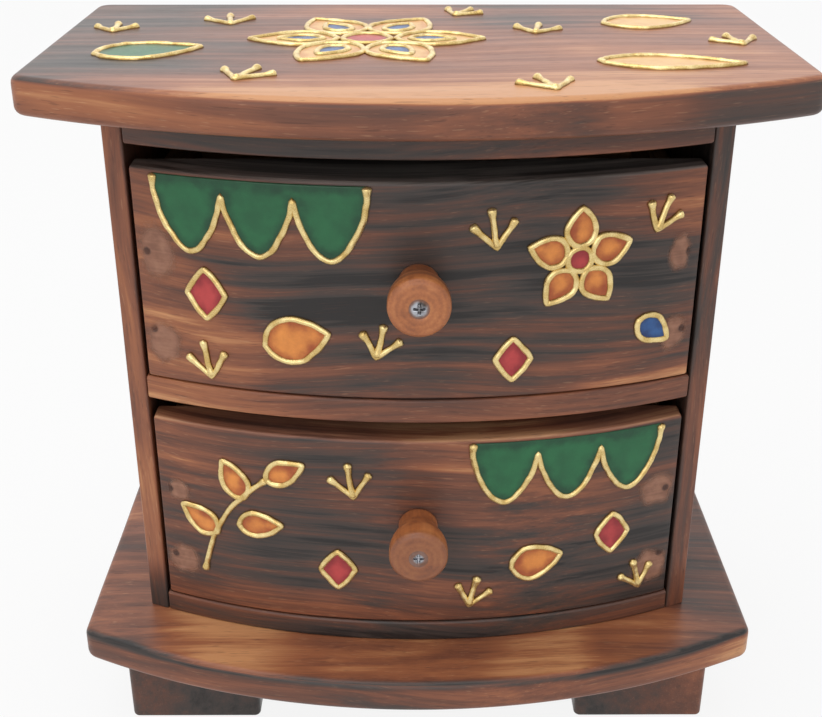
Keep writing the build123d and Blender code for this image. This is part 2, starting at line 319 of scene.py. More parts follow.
def milled_board(name, outline, floor, top, arris, finish):
    """A board of the given plan between two heights, its rims rounded over, its edges a little uneven."""
    rim_steps = 5
    lift_height = 0.006
    unevenness = 0.0002
    waves = 30
    count = len(outline)
    outward = []
    for i in range(count):
        run = outline[(i + 1) % count] - outline[i - 1]
        outward.append(Vector((run.y, -run.x)).normalized())
    angles = [pi / 2 * step / rim_steps for step in range(rim_steps + 1)]
    rim = [(arris * (1 - sin(a)), arris * (1 - cos(a))) for a in angles]
    rise = top - floor - 2 * arris
    lifts = max(1, round(rise / lift_height))
    rings = [(inset, floor + height) for inset, height in rim]
    rings += [(0.0, floor + arris + rise * lift / lifts) for lift in range(1, lifts)]
    rings += [(inset, top - height) for inset, height in reversed(rim)]
    points = []
    for inset, height in rings:
        for corner, away in zip(outline, outward):
            spot = Vector((corner.x, corner.y, height))
            dip = unevenness * (0.5 + 0.5 * noise.noise(spot * waves))
            points.append(spot - Vector((away.x, away.y, 0)) * (inset + dip))
    under = list(range(count))[::-1]
    sides = [[a, d, c, b] for a, b, c, d in ring_faces(0, len(rings) - 1, count)]
    over = [len(points) - count + i for i in range(count)]
    return built_piece(name, points, [under, *sides, over], finish, flat=(0, -1))


def squared_board(name, node, corner, arris, finish):
    """A board that fills the box of its node, with rounded corners."""
    low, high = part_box(node)
    tips = [(low.x, low.y), (high.x, low.y), (high.x, high.y), (low.x, high.y)]
    plan = softened_plan([straight_run(a, b) for a, b in zip(tips, tips[1:] + tips[:1])], corner)
    return milled_board(name, plan, low.z, high.z, arris, finish)


foot_corner = 0.002
foot_arris = 0.0011


def foot_tone(x, y, z):
    """Brown at the outer ends, most at the right, nearly black towards the middle as painted shade
    under the base board, and darker towards the sole.
    """
    # Painted shade: the feet darken away from their outer ends, under the bow of the base board.
    outer = abs(x).ease(0.06, 0.088)
    right = x.ease(-0.03, 0.07)
    return 0.13 + outer * (0.14 + right * 0.1) + z.ease(0.004, 0.018) * 0.07 + right * 0.08


foot_finish = torched_wood("torched_foot", "Y", foot_tone, 2.0, figured=0.5)
for node in ("left_foot", "right_foot"):
    foot = squared_board(f"{node}_batten", node, foot_corner, foot_arris, foot_finish)
    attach(foot, "case")
    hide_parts(node)

# Base board: a thick board with a bowed front, rounded corners and rounded-over edges.
# Its reveal in front of the drawers is red-brown and its upper arris is scorched to a dark line.
# The case stands on it and is pinned down through the bottom shelf.

bow_centre = 0.1515
board_bow = 0.214
board_corner = 0.005
board_arris = 0.0022
bow_step = 0.002


def bowed_board(name, node, radius, corner, arris, finish):
    """A board that reaches from the back line of its node's box forward to the bow."""
    low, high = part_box(node)
    count = max(3, round((high.x - low.x) / bow_step))
    across = [low.x + (high.x - low.x) * i / count for i in range(count + 1)]
    bow = [Vector((x, bow_centre - sqrt(radius**2 - x**2))) for x in across]
    right = straight_run(bow[-1], (high.x, high.y))
    back = straight_run((high.x, high.y), (low.x, high.y))
    left = straight_run((low.x, high.y), bow[0])
    plan = softened_plan([bow, right, back, left], corner)
    return milled_board(name, plan, low.z, high.z, arris, finish)


def off_axis(u, v):
    """How far a spot lies from an axis, from its two distances square to it."""
    return (u * u + v * v) ** 0.5


def bow_depth(x, y, radius):
    """How far a spot lies behind a bow."""
    return radius - off_axis(x, y - bow_centre)


def board_depth(top):
    """How deep a spot of a bowed board lies: behind the bow on its edge, its y on its upper face."""

    def depth(x, y, z):
        face = (z - top).ease(-0.0009, -0.0007)
        inward = bow_depth(x, y, board_bow)
        return inward + face * (y - inward)

    return depth


def scorched_arris(inward, downward, width):
    """1 on the edge where two faces meet and 0 from the given width inwards."""
    return inward.most(downward).fade(0.0, width)


base_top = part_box("base_board")[1].z


def base_tone(x, y, z):
    """Red-brown on the reveal, paler to both sides, darkened at its ends as painted shade, the edge
    pale at the right.

    The arris is scorched, most at the left end and to the right of the middle."""
    line = scorched_arris(bow_depth(x, y, board_bow), abs(base_top - z), 0.003)
    face = (z - base_top).ease(-0.0016, -0.0006)
    left_glow = x.near(-0.054, 0.004, 0.026)
    right_glow = x.ease(0.014, 0.03) * 0.16 - x.ease(0.044, 0.056) * 0.34
    # The darkening of the upper face at both ends is painted shade.
    upper = 0.68 - abs(x).ease(0.074, 0.086) * 0.2 + left_glow * 0.4 + right_glow
    edge = 0.44 + x.ease(0.01, 0.03) * 0.14 + x.ease(0.045, 0.09) * 0.16
    scorch = 0.42 + x.fade(-0.08, -0.045) * 0.2 + x.ease(-0.01, 0.02) * 0.2
    return edge + face * (upper - edge) - scorch * line


base_finish = torched_wood("torched_base", "X", base_tone, 11.0, depth=board_depth(base_top), flamed=0.5)
base_board = bowed_board("base_board_bowed", "base_board", board_bow, board_corner, board_arris, base_finish)
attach(base_board, "case")
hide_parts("base_board")

# Shelves and top rail: thin boards sawn to one bow, glued and nailed between the side panels.
# The middle shelf is the palest strip on the front, painted darker behind its front edge as shade
# under the drawer. The bottom shelf is painted dark as shade, and the rail under the top nearly
# black as painted shade under the top board.

case_bow = bow_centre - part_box("middle_shelf")[0].y
shelf_corner = 0.0006
shelf_arris = 0.0008


def case_depth(x, y, z):
    return bow_depth(x, y, case_bow)


def bottom_tone(x, y, z):
    """Dark as painted shade, with paler ends, most at the left."""
    return 0.14 + x.fade(-0.07, -0.02) * 0.25 + x.ease(0.03, 0.07) * 0.1


def middle_tone(x, y, z):
    """Tan at the left end, browner left of the middle, red-brown to the right, darkened behind the
    front edge as painted shade under the drawer.
    """
    front = 0.84 - x.ease(-0.068, -0.02) * 0.5 + x.ease(0.005, 0.035) * 0.24
    # Painted shade under the drawer, deeper in from the front edge.
    return front - case_depth(x, y, z).ease(0.002, 0.012) * 0.35


def rail_tone(x, y, z):
    """Dark from end to end, as painted shade under the top board."""
    return 0.24 + abs(x).ease(0.0, 0.07) * 0.06


for node, tone, seed in (
    ("bottom_shelf", bottom_tone, 17.0),
    ("middle_shelf", middle_tone, 23.0),
    ("top_rail", rail_tone, 29.0),
):
    shelf_finish = torched_wood(f"torched_{node}", "X", tone, seed, depth=case_depth)
    shelf = bowed_board(f"{node}_bowed", node, case_bow, shelf_corner, shelf_arris, shelf_finish)
    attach(shelf, "case")
    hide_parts(node)

# Side panels: upright boards whose front edges are cut to the bow and show beside the drawers.
# The grain stands upright, and the edge that faces the drawers is darkened as painted shadow in
# the gap beside them.

side_corner = 0.0008
side_arris = 0.0004
side_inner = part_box("right_side_panel")[0].x


def left_tone(x, y, z):
    """Red-brown, palest low down, darker at the foot, the inner arris darkened as painted shadow of the gap.
    """
    glow = z.near(0.066, 0.006, 0.04)
    darker_foot = z.fade(0.04, 0.056)
    # Painted shadow along the inner edge, in the gap beside the drawers.
    inner = (abs(x) - side_inner).fade(0.0, 0.0012)
    return 0.55 + glow * 0.2 - darker_foot * 0.34 - inner * 0.2


def right_tone(x, y, z):
    """Dark at the top, redder downwards, palest half-way, the inner edge darkened as painted shadow of the
    gap.
    """
    glow = z.near(0.104, 0.004, 0.03)
    # Painted shadow along the inner edge, in the gap beside the drawers.
    inner = (abs(x) - side_inner).fade(0.0, 0.002)
    return 0.48 - z.ease(0.12, 0.185) * 0.2 + glow * 0.12 - inner * 0.24


for node, tone, seed in (("left_side_panel", left_tone, 31.0), ("right_side_panel", right_tone, 37.0)):
    panel_finish = torched_wood(f"torched_{node}", "Z", tone, seed)
    panel = bowed_board(f"{node}_bowed", node, case_bow, side_corner, side_arris, panel_finish)
    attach(panel, "case")
    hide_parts(node)

# Back panel: three-ply board laid over the rear edges of the case and pinned there.
# Its face veneer is peeled, with a wide figure, and the plies show along its edges.

ply_pale = swatch(176, 138, 100)
ply_mid = swatch(150, 110, 76)
ply_core = swatch(104, 72, 50)
back_ply_depth = 0.0027


def peeled_ply(name, thin_axis, ply_depth):
    """Stained three-ply: a wide veneer figure on the faces and darker core stripes on the edges."""
    finish, board, place = new_finish(name)
    thin = "XYZ".index(thin_axis)
    facing = place.node("ShaderNodeTexCoord", output="Normal").axes()[thin]
    edge = abs(facing).fade(0.4, 0.6)
    stripe = place.math("SINE", place.axes()[thin] * (2 * pi / ply_depth)).ease(-0.3, 0.3)
    veneer = place.noise(1.0, 5.0, stretch=(70.0, 40.0, 9.0), distortion=1.2)
    vessels = place.noise(1.0, 1.0, stretch=(2300.0, 1800.0, 130.0))
    face = veneer.ease(0.32, 0.68).tinted(ply_mid, ply_pale)
    worn = (vessels.ease(0.58, 0.7) * 0.6).tinted(face, ply_core)
    place.feed(
        board,
        {
            "Base Color": (edge * stripe * 0.8).tinted(worn, ply_core),
            "Roughness": 0.62 + veneer * 0.2,
            "Normal": (veneer - vessels * 0.7).bump(0.3, 0.00015),
        },
    )
    return finish


def dressed(node, finish):
    """Gives its finish to a piece that keeps its plain shape."""
    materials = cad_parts[node].data.materials
    materials.clear()
    materials.append(finish)


dressed("back_panel", peeled_ply("back_ply", "Y", back_ply_depth))

# Nails and pins of the case: wire nails with flat, slightly domed heads, dulled by the lacquer.
# They go through the sides into the shelves and rail, through the back, and down into the base.

nail_sizes = {"Head diameter": 0.003, "Head rise": 0.00016, "Shank diameter": 0.0016, "Length": 0.0195}
pin_sizes = {"Head diameter": 0.0022, "Head rise": 0.00014, "Shank diameter": 0.0012, "Length": 0.0115}
tarnish_brown = swatch(70, 62, 56)
# Brown painted as shade over the rims of the knob screws.
rim_shade_brown = swatch(120, 76, 52)


def drawn_steel(name, tint, dullness, rim_shade=None):
    """Wire steel with drawing marks and a little tarnish.

    rim_shade(x, y, z) says where brown painted shade covers it."""
    finish, steel, place = new_finish(name)
    tarnish = place.noise(420.0, 2.0)
    colour = tarnish.ease(0.35, 0.7).tinted(tint, tarnish_brown)
    metal = 1.0
    if rim_shade:
        # Brown painted shade over the head's rim, where the screw sits sunk in the knob.
        shade_share = rim_shade(*place.axes())
        colour = shade_share.tinted(colour, rim_shade_brown)
        metal = 1.0 - shade_share
    place.feed(
        steel,
        {
            "Base Color": colour,
            "Metallic": metal,
            "Roughness": dullness + tarnish * 0.25,
            "Normal": place.noise(5200.0, 1.0).bump(0.15, 0.00002),
        },
    )
    return finish


def grow_tree(name, inputs):
    """A geometry tree with the named inputs, and a wire for each of them."""
    tree = bpy.data.node_groups.new(name, "GeometryNodeTree")
    tree.interface.new_socket("Geometry", in_out="INPUT", socket_type="NodeSocketGeometry")
    for title, kind in inputs.items():
        tree.interface.new_socket(title, in_out="INPUT", socket_type=f"NodeSocket{kind}")
    tree.interface.new_socket("Geometry", in_out="OUTPUT", socket_type="NodeSocketGeometry")
    entry = tree.nodes.new("NodeGroupInput")
    return tree, {socket.name: Wire(tree, socket) for socket in entry.outputs if socket.name}


def joined(shape, other):
    """Two shapes of a tree in one."""
    both = shape.node("GeometryNodeJoinGeometry", inputs={0: shape})
    shape.feed(both.socket.node, {0: other})
    return both


def close_tree(shape, finish):
    """Shades the shape smooth, makes its instances real, gives it its finish and ends the tree."""
    smooth = shape.node("GeometryNodeSetShadeSmooth", inputs={"Geometry": shape})
    real = shape.node("GeometryNodeRealizeInstances", inputs={0: smooth})
    painted = shape.node("GeometryNodeSetMaterial", inputs={"Geometry": real, "Material": finish})
    way_out = shape.tree.nodes.new("NodeGroupOutput")
    shape.feed(way_out, {0: painted})


def grown(name, host_mesh, tree, values):
    """The plain mesh piece that a tree makes from its host mesh."""
    host = set_out(f"{name}_host", host_mesh)
    modifier = host.modifiers.new(name, "NODES")
    modifier.node_group = tree
    for socket in tree.interface.items_tree:
        if socket.in_out == "INPUT" and socket.name in values:
            modifier[socket.identifier] = values[socket.name]
    graph = bpy.context.evaluated_depsgraph_get()
    mesh = bpy.data.meshes.new_from_object(host.evaluated_get(graph), depsgraph=graph)
    host.modifiers.remove(modifier)
    bpy.data.objects.remove(host)
    mesh.name = name
    return set_out(name, mesh)


nail_tree, nail = grow_tree("driven_nails", {**dict.fromkeys(nail_sizes, "Float"), "Finish": "Material"})
head_radius = nail["Head diameter"] * 0.5
head_round = head_radius.node(
    "GeometryNodeMeshUVSphere", inputs={"Segments": 16, "Rings": 8, "Radius": head_radius}
)
head_flat = head_radius.vector(1.0, 1.0, nail["Head rise"] / head_radius)
nail_head = head_round.node("GeometryNodeTransform", inputs={"Geometry": head_round, "Scale": head_flat})
shank_round = nail["Length"].node(
    "GeometryNodeMeshCone",
    inputs={
        "Vertices": 10,
        "Radius Top": nail["Shank diameter"] * 0.5,
        "Radius Bottom": nail["Shank diameter"] * 0.2,
        "Depth": nail["Length"],
    },
)
shank_low = nail["Length"].vector(z=0.0 - nail["Length"])
nail_shank = shank_round.node(
    "GeometryNodeTransform", inputs={"Geometry": shank_round, "Translation": shank_low}
)
whole_nail = joined(nail_head, nail_shank)
facing = whole_nail.node("GeometryNodeInputNamedAttribute", {"data_type": "FLOAT_VECTOR"}, {"Name": "facing"})
turned = facing.node("FunctionNodeAlignRotationToVector", {"axis": "Z"}, {"Vector": facing})
set_nails = whole_nail.node(
    "GeometryNodeInstanceOnPoints",
    inputs={"Points": nail["Geometry"], "Instance": whole_nail, "Rotation": turned},
)
close_tree(set_nails, nail["Finish"])
nail_steel = drawn_steel("nail_steel", swatch(150, 142, 132), 0.3)


def driven_nails(name, places, sizes):
    """Nails driven home at the places, each the head's middle and the way that it faces."""
    host = bpy.data.meshes.new(f"{name}_places")
    host.from_pydata([spot for spot, way in places], [], [])
    ways = host.attributes.new("facing", "FLOAT_VECTOR", "POINT")
    ways.data.foreach_set("vector", [part for spot, way in places for part in way])
    return grown(name, host, nail_tree, {**sizes, "Finish": nail_steel})


case_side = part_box("right_side_panel")[1].x
case_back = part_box("back_panel")[1].y
bottom_shelf_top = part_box("bottom_shelf")[1].z
shelf_nail_lines = (-0.01232, 0.0415)
shelf_heights = (0.03875, 0.1118)
rail_nail = (-0.01866, 0.1866)
back_pin_inset = 0.003
back_pin_heights = (0.0515, 0.09287, 0.13423, 0.1756)
shelf_pin_x = 0.039
sides = (-1, 1)

side_spots = [(y, z) for z in shelf_heights for y in shelf_nail_lines] + [rail_nail]
side_places = [((s * case_side, y, z), (s, 0, 0)) for s in sides for y, z in side_spots]
back_spots = [(s * (case_side - back_pin_inset), z) for s in sides for z in back_pin_heights]
back_spots += [(s * shelf_pin_x, z) for s in sides for z in shelf_heights]
back_places = [((x, case_back, z), (0, 1, 0)) for x, z in back_spots]
shelf_places = [((s * shelf_pin_x, y, bottom_shelf_top), (0, 0, 1)) for s in sides for y in shelf_nail_lines]
for node, places, sizes in (
    ("side_nails", side_places, nail_sizes),
    ("back_pins", back_places, pin_sizes),
    ("shelf_pins", shelf_places, pin_sizes),
):
    driven = driven_nails(f"{node}_driven", places, sizes)
    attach(driven, "case")
    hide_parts(node)

# Top board: the same bowed plan as the base board, glued down on hidden dowels.
# Its face is lacquered to a sheen over slate-dark streaks, and its bowed edge stays red-brown.

top_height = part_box("top_board")[1].z


def top_tone(x, y, z):
    """Face: slate at the left and at the back right, tan along the middle of the front, red between.

    Edge: red-brown to the left and darker to the right, with a paler knot."""
    inward = bow_depth(x, y, board_bow)
    line = scorched_arris(inward, abs(top_height - z), 0.0018)
    face = (z - top_height).ease(-0.0016, -0.0006)
    front = inward.fade(0.002, 0.026) * x.near(-0.012, 0.035, 0.09)
    slate = x.near(0.05, 0.016, 0.05) * y.ease(0.0, 0.04)
    upper = 0.2 + x.ease(-0.085, -0.01) * 0.38 + front * 0.66 + x.ease(0.01, 0.05) * 0.12 - slate * 0.3
    knot = x.near(0.053, 0.004, 0.018)
    edge = 0.62 - x.ease(-0.05, 0.02) * 0.1 - x.ease(0.02, 0.09) * 0.22 + knot * 0.14
    return edge + face * (upper - edge) - 0.1 * line


top_finish = torched_wood(
    "torched_top", "X", top_tone, 41.0, depth=board_depth(top_height), figured=0.8, flamed=0.5
)
top_board = bowed_board("top_board_bowed", "top_board", board_bow, board_corner, board_arris, top_finish)
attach(top_board, "case")
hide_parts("top_board")

# Drawer boxes: plain sides and back of pale box wood, nailed, on a thin ply bottom.
# They are stained lightly and left without lacquer, since they don't show when shut.

drawers = ("upper", "lower")
drawer_floors = {drawer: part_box(f"{drawer}_drawer_front")[0].z for drawer in drawers}
drawer_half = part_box("upper_drawer_right_side")[1].x
box_corner = 0.0005
box_arris = 0.0006
bottom_ply_depth = 0.002
back_nail_line = 0.0502
back_nail_rises = (0.015, 0.0345)
bottom_pin_x = 0.0716
bottom_pin_lines = (-0.00437, 0.01641, 0.0372)
box_tones = [
    (0.15, swatch(112, 78, 54)),
    (0.45, swatch(150, 110, 78)),
    (0.90, swatch(184, 146, 108)),
]


def box_wood(name, grain, seed):
    """Pale wood without lacquer, a little darker towards the back."""
    return torched_wood(name, grain, lambda x, y, z: 0.5 - y.ease(0.0, 0.06) * 0.08, seed, box_tones, 0.0)


side_wood = box_wood("box_wood_side", "Y", 47.0)
back_wood = box_wood("box_wood_back", "X", 53.0)
bottom_ply = peeled_ply("bottom_ply", "Z", bottom_ply_depth)
for drawer in drawers:
    body = f"{drawer}_drawer"
    for part, finish in (("left_side", side_wood), ("right_side", side_wood), ("back", back_wood)):
        plank = squared_board(f"{body}_{part}_plank", f"{body}_{part}", box_corner, box_arris, finish)
        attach(plank, body)
        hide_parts(f"{body}_{part}")
    dressed(f"{body}_bottom", bottom_ply)
    floor = drawer_floors[drawer]
    back_heights = [floor + rise for rise in back_nail_rises]
    back_places = [((s * drawer_half, back_nail_line, z), (s, 0, 0)) for s in sides for z in back_heights]
    bottom_places = [((s * bottom_pin_x, y, floor), (0, 0, -1)) for s in sides for y in bottom_pin_lines]
    for part, places, sizes in (
        ("back_nails", back_places, nail_sizes),
        ("bottom_pins", bottom_places, pin_sizes),
    ):
        driven = driven_nails(f"{body}_{part}_driven", places, sizes)
        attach(driven, body)
        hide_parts(f"{body}_{part}")

# Fasteners that other pieces cover: nails into the feet and the drawer fronts, and the dowels
# under the top board. They keep their plain shapes in steel and in pale wood.

for node in ("foot_nails", "upper_drawer_front_nails", "lower_drawer_front_nails"):
    dressed(node, nail_steel)
dressed("top_dowels", box_wood("dowel_wood", "Z", 59.0))

# Drawer fronts: thick blocks bowed outside and flat inside, flush with the case when shut.
# The flame runs along the grain, slate-dark in the middle and red-brown towards the ends. The
# upper face of each front carries grey char painted as shade, heavy on the upper front and light on
# the lower one, whose upper face is also painted paler as light in the gap above it.

front_corner = 0.001
front_arris = 0.001
front_tops = {drawer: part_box(f"{drawer}_drawer_front")[1].z for drawer in drawers}


def upper_edge(z, drawer):
    """1 on the upper face of a front."""
    return (z - front_tops[drawer]).ease(-0.0009, -0.0002)


def gap_shaded_edge(drawer, share):
    """Says where grey char is painted on a front's upper face as shade in the gap above it, and how much."""
    return lambda x, y, z: upper_edge(z, drawer) * share


def upper_tone(x, y, z):
    """Dark in a band across the middle and to the right, red at the left end and along the lower edge."""
    left = x.fade(-0.072, -0.03)
    middle = x.near(0.01, 0.02, 0.065)
    low_edge = z.fade(0.118, 0.132)
    band = z.near(0.138, 0.004, 0.016) * x.near(0.014, 0.045, 0.072)
    return 0.33 + left * 0.22 - middle * 0.14 - band * 0.14 + low_edge * 0.26 + x.ease(0.04, 0.06) * 0.1


def lower_tone(x, y, z):
    """Orange-brown high in the middle right, dark to the right and in a low band, the upper face
    painted paler as light in the gap above it.
    """
    warm = x.near(0.018, 0.006, 0.04) * z.ease(0.078, 0.096)
    left = x.fade(-0.074, -0.045)
    middle = x.near(-0.012, 0.02, 0.045)
    low = z.fade(0.044, 0.051) * x.near(0.008, 0.015, 0.04)
    band = z.near(0.055, 0.004, 0.013)
    face = 0.34 + left * 0.1 + warm * 0.4 - middle * 0.08 + low * 0.14 - x.ease(0.012, 0.045) * 0.12
    # The upper face is painted paler, as light in the gap under the middle shelf.
    return face - band * 0.12 + upper_edge(z, "lower") * 0.4


# The last figure is how much grey char is painted as shade on each front's upper face.
for drawer, tone, seed, gap_shade in (("upper", upper_tone, 61.0, 0.9), ("lower", lower_tone, 67.0, 0.25)):
    body = f"{drawer}_drawer"
    front_finish = torched_wood(
        f"torched_{drawer}_front",
        "X",
        tone,
        seed,
        depth=case_depth,
        figured=1.3,
        flamed=0.7,
        char_shade=gap_shaded_edge(drawer, gap_shade),
    )
    front = bowed_board(
        f"{body}_front_bowed", f"{body}_front", case_bow, front_corner, front_arris, front_finish
    )
    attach(front, body)
    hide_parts(f"{body}_front")

# Filler over the front nails: wood stopping smeared with a thumb, sanded and lacquered over.
# Each patch is a pale, pinkish smear that thins out into the wood, with the nail hole sunk in it.

filler_nail = 0.0737
filler_middle = 0.0708
filler_limit = 0.0763
filler_proud = 0.00007
filler_rises = (0.015, 0.0375)
filler_spans = {
    "upper": (
        (-1, (0.0060, 0.0076, -0.004), (0.0060, 0.0104, 0.0)),
        (1, (0.0050, 0.0062, -0.001), (0.0040, 0.0064, 0.0)),
    ),
    "lower": (
        (-1, (0.0064, 0.0060, -0.001), (0.0044, 0.0044, 0.0)),
        (1, (0.0074, 0.0072, -0.004), (0.0070, 0.0066, 0.0)),
    ),
}
filler_rings = 9
filler_spokes = 40
dimple_depth = 0.00008
dimple_radius = 0.0012


def smeared_filler(name):
    """Pale paste, thinner towards its rim, dark in the nail hole."""
    finish, paste, place = new_finish(name)
    cloud = place.noise(420.0, 4.0)
    streak = place.noise(1.0, 3.0, stretch=(60.0, 60.0, 1400.0))
    pale = (cloud * 0.6 + streak * 0.4).ease(0.3, 0.7).tinted(swatch(146, 101, 81), swatch(182, 132, 107))
    hole = place.attribute("from_nail").fade(0.0007, 0.0016)
    rim = place.attribute("towards_rim") + (cloud - 0.5) * 0.25
    place.feed(
        paste,
        {
            "Base Color": hole.tinted(pale, swatch(88, 56, 45)),
            "Roughness": 0.42 + cloud * 0.2,
            "Alpha": rim.fade(0.5, 1.0) * 0.75,
            "Normal": cloud.bump(0.3, 0.0001),
            "Specular IOR Level": 0.35,
            "Coat Weight": 0.25,
        },
    )
    return finish


def fan_faces(middle, first, spokes):
    """Three-sided faces from a point in the middle to the ring that starts at the first point."""
    return [[middle, first + spoke, first + (spoke + 1) % spokes] for spoke in range(spokes)]


filler = smeared_filler("smeared_filler")
for drawer in drawers:
    body = f"{drawer}_drawer"
    floor = drawer_floors[drawer]
    points, faces, rims, holes = [], [], [], []
    for side, *spans in filler_spans[drawer]:
        for rise, (half_wide, half_high, lift) in zip(filler_rises, spans):
            first = len(points)
            chance = Vector((side * 5.0, rise * 900, floor * 70))
            for ring in range(filler_rings + 1):
                share = ring / filler_rings
                for spoke in range(filler_spokes if ring else 1):
                    way = 2 * pi * spoke / filler_spokes
                    wander = 1 + 0.25 * noise.noise(chance + Vector((cos(way), sin(way), 0.0)) * 1.4)
                    across = filler_middle + half_wide * share * wander * cos(way)
                    across = side * min(across, filler_limit)
                    up = rise + lift + half_high * share * wander * sin(way)
                    off_nail = sqrt((across - side * filler_nail) ** 2 + (up - rise) ** 2)
                    dimple = dimple_depth * max(0.0, 1 - (off_nail / dimple_radius) ** 2)
                    reach = case_bow + filler_proud * (1 - 0.8 * share**4) - dimple
                    turn = across / case_bow
                    points.append((reach * sin(turn), bow_centre - reach * cos(turn), floor + up))
                    rims.append(share)
                    holes.append(off_nail)
            faces += fan_faces(first, first + 1, filler_spokes)
            faces += ring_faces(first + 1, filler_rings - 1, filler_spokes)
    patches = built_piece(f"{body}_filler_patches", points, faces, filler)
    for title, values in (("towards_rim", rims), ("from_nail", holes)):
        patches.data.attributes.new(title, "FLOAT", "POINT").data.foreach_set("value", values)
    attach(patches, body)
    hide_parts(f"{body}_nail_plugs")

# Knobs: turned in one piece with a narrow seat that flares to a rim, sanded and dipped in amber
# varnish. Each is bored for its screw and stands against the middle of its drawer front.

knob_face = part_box("upper_knob")[0].y
knob_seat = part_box("upper_knob")[1].y
knob_heights = {drawer: sum(corner.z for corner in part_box(f"{drawer}_knob")) / 2 for drawer in drawers}
knob_seat_radius = 0.0055
knob_seat_edge = 0.0003
knob_rim_radius = 0.008
knob_rim_length = 0.0045
knob_rim_back = knob_face + knob_rim_length
knob_edge = 0.0018
knob_bore = 0.002
screw_radius = 0.0027
screw_shank_radius = 0.0014
# How much painted shade each knob's face and neck carry, set by how each one is lit.
face_shades = {"upper": 0.1, "lower": 0.5}
neck_shades = {"upper": 1.0, "lower": 0.1}
lathe_spokes = 72
flare_steps = 16
edge_steps = 6
amber_tones = [(0.3, swatch(134, 74, 40)), (0.56, swatch(176, 104, 56)), (0.8, swatch(200, 130, 76))]
year_width = 0.0017
tool_mark = 0.00042


def turned_piece(name, profile, height, finish):
    """A closed turning about the knob's axis from (distance from the axis, place along it) pairs."""
    points = []
    for radius, along in profile:
        for spoke in range(lathe_spokes):
            way = 2 * pi * spoke / lathe_spokes
            points.append((radius * cos(way), along, height + radius * sin(way)))
    faces = ring_faces(0, len(profile) - 1, lathe_spokes)
    faces.append(list(range(lathe_spokes)))
    faces.append([len(points) - lathe_spokes + spoke for spoke in range(lathe_spokes)][::-1])
    return built_piece(name, points, faces, finish, flat=(-2, -1))


def amber_turning(name, height, face_shade, neck_shade):
    """Varnished turned wood: lathe rings on the face, long fibres along the flare.

    face_shade says how much painted shade darkens the face, neck_shade how much darkens the neck
    and the ring behind the rim."""
    finish, wood, place = new_finish(name)
    x, y, z = place.axes()
    away = off_axis(x, z - height)
    wander = place.noise(240.0, 3.0)
    years = place.math("SINE", (away + wander * 0.0016) * (2 * pi / year_width)) * 0.5 + 0.5
    tool = place.math("SINE", away * (2 * pi / tool_mark)) * 0.5 + 0.5
    fibre = place.noise(1.0, 3.0, stretch=(1500.0, 70.0, 1500.0))
    ripe = years * 0.1 + fibre * 0.35 + wander * 0.62
    amber = place.node("ShaderNodeValToRGB", {"stops": amber_tones}, {"Fac": ripe})
    # Painted shade: on the neck towards the drawer front, in a ring behind the rim, and over the face.
    neck = (y - knob_seat).ease(-0.012, -0.001)
    shade_ring = y.near(knob_rim_back, 0.0003, 0.0014)
    face = (y - knob_face).fade(0.0006, 0.003)
    knob_shade = ((neck * 0.3).most(shade_ring * 0.6) * neck_shade).most(face * face_shade)
    place.feed(
        wood,
        {
            "Base Color": knob_shade.tinted(amber, swatch(92, 52, 36)),
            "Roughness": 0.46 + fibre * 0.12,
            "Normal": (tool * 0.5 + fibre + years * 0.3).bump(0.3, 0.00006),
            "Coat Weight": 0.3,
            "Coat Roughness": 0.3,
        },
    )
    return finish


knob_profile = [(knob_bore, knob_seat), (knob_seat_radius - knob_seat_edge, knob_seat)]
flare_start = knob_seat - knob_seat_edge
for step in range(flare_steps + 1):
    share = step / flare_steps
    late = max(0.0, (share - 0.2) / 0.8)
    swelling = late * late * (3 - 2 * late)
    radius = knob_seat_radius + (knob_rim_radius - knob_seat_radius) * swelling
    knob_profile.append((radius, flare_start + (knob_rim_back - flare_start) * share))
edge_start = knob_face + knob_edge
for share in (0.25, 0.5, 0.75):
    knob_profile.append((knob_rim_radius, knob_rim_back + (edge_start - knob_rim_back) * share))
for step in range(edge_steps + 1):
    way = pi / 2 * step / edge_steps
    radius = knob_rim_radius - knob_edge * (1 - cos(way))
    knob_profile.append((radius, edge_start - (knob_edge - 0.0002) * sin(way)))
knob_profile += [
    (0.0045, knob_face + 0.0001),
    (screw_radius + 0.0003, knob_face),
    (screw_radius, knob_face + 0.00012),
    (screw_shank_radius, knob_face + 0.0014),
]
for drawer in drawers:
    body = f"{drawer}_drawer"
    height = knob_heights[drawer]
    knob_finish = amber_turning(f"amber_{drawer}_knob", height, face_shades[drawer], neck_shades[drawer])
    knob = turned_piece(f"{body}_knob_turned", knob_profile, height, knob_finish)
    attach(knob, body)
    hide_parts(f"{drawer}_knob")

# Knob screws: countersunk wood screws of bright steel, driven from the front through the knob.
# The flat head has a cross recess that narrows towards its bottom, and brown painted shade over its rim.

# How far from its middle each screw head stays clear steel; painted shade covers the rest.
unshaded_head = {"upper": 0.0024, "lower": 0.0017}
screw_tint = swatch(176, 178, 184)
screw_turn = radians(22)
screw_sink = 0.0002
screw_crown = 0.00018
head_rings = 22
head_spokes = 96
cross_reach = 0.0016
cross_half = 0.00042
cross_deep = 0.0011
cross_wall = 0.00016
cross_slope = 0.0007
shank_profile = [
    (screw_radius, 0.0004),
    (screw_shank_radius, 0.0017),
    (screw_shank_radius, 0.026),
    (0.0002, 0.0298),
]


def shaded_rim(height, unshaded):
    """Covers a screw's head with brown painted shade outside the given distance from its axis."""
    return lambda x, y, z: off_axis(x, z - height).ease(unshaded - 0.0007, unshaded) * 0.85


def cross_recess(u, v):
    """How deep a spot of the head lies in the cross, from 0 to 1."""
    depth = 0.0
    for along, across in ((abs(u), abs(v)), (abs(v), abs(u))):
        wall = min(1.0, max(0.0, (cross_half - across) / cross_wall))
        end = min(1.0, max(0.0, (cross_reach - along) / cross_slope))
        depth = max(depth, wall * end)
    return depth


